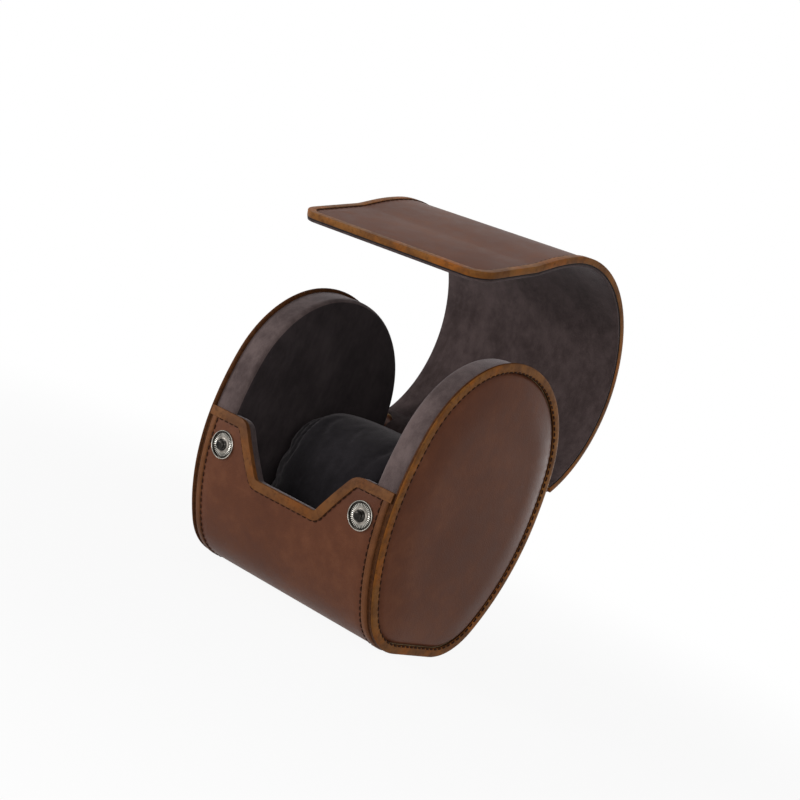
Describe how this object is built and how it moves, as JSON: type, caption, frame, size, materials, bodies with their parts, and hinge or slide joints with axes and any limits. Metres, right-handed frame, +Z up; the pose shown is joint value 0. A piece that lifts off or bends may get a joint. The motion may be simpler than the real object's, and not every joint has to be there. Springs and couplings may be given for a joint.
{
  "type": "watch travel case",
  "caption": "Oval leather travel case for one wristwatch, with domed end caps, a fold-back lid, a snap-down front flap and a loose inner cushion.",
  "frame": {"origin": "middle of the flat that the case stands on, under the middle of the barrel", "axes": "+X along the barrel to the right, -Y to the front with the snaps, +Z up"},
  "size_m": [0.0832, 0.103, 0.1368],
  "materials": {
    "brown_leather": "smooth brown grain leather, low sheen",
    "tan_leather": "tan edge leather, low sheen",
    "suede": "grey-mauve microsuede, matt",
    "board": "plain grey board, hidden",
    "fibreboard": "plain fibreboard, hidden",
    "foam": "soft padding, hidden",
    "snap_metal": "gunmetal-plated pressed metal",
    "cushion_suede": "near-black microsuede, matt"
  },
  "bodies": {
    "base": {"base_leather": "brown_leather", "base_board": "board", "base_lining": "suede", "front_binding": "tan_leather", "side_strip_left": "brown_leather", "side_strip_right": "brown_leather", "end_panel_left": "brown_leather", "end_panel_right": "brown_leather", "end_padding_left": "foam", "end_padding_right": "foam", "end_board_left": "board", "end_board_right": "board", "end_welt_left": "tan_leather", "end_welt_right": "tan_leather", "cheek_core_left": "fibreboard", "cheek_core_right": "fibreboard", "cheek_cover_left": "suede", "cheek_cover_right": "suede", "snap_rings": "snap_metal", "snap_studs": "snap_metal", "snap_washers": "snap_metal"},
    "lid": {"lid_leather": "brown_leather", "lid_board": "board", "lid_lining": "suede", "lid_binding": "tan_leather"},
    "flap": {"flap_leather": "brown_leather", "flap_board": "board", "flap_lining": "suede", "flap_binding": "tan_leather", "socket_bodies": "snap_metal", "socket_springs": "snap_metal", "socket_caps": "snap_metal"},
    "cushion": {"cushion_cover": "cushion_suede", "cushion_core": "foam"}
  },
  "joints": [
    {"name": "lid_hinge", "type": "hinge", "parent": "base", "child": "lid", "pos_m": [0, 0.03952, 0.0597], "axis": [1, 0, 0], "range_deg": [-30, 59.5]},
    {"name": "flap_flex", "type": "hinge", "parent": "lid", "child": "flap", "pos_m": [0, -0.01338, 0.12525], "axis": [1, 0, 0], "range_deg": [-25, 14]},
    {"name": "cushion_lift", "type": "slide", "parent": "base", "child": "cushion", "axis": [0, 0, 1], "range_m": [0, 0.025]}
  ]
}
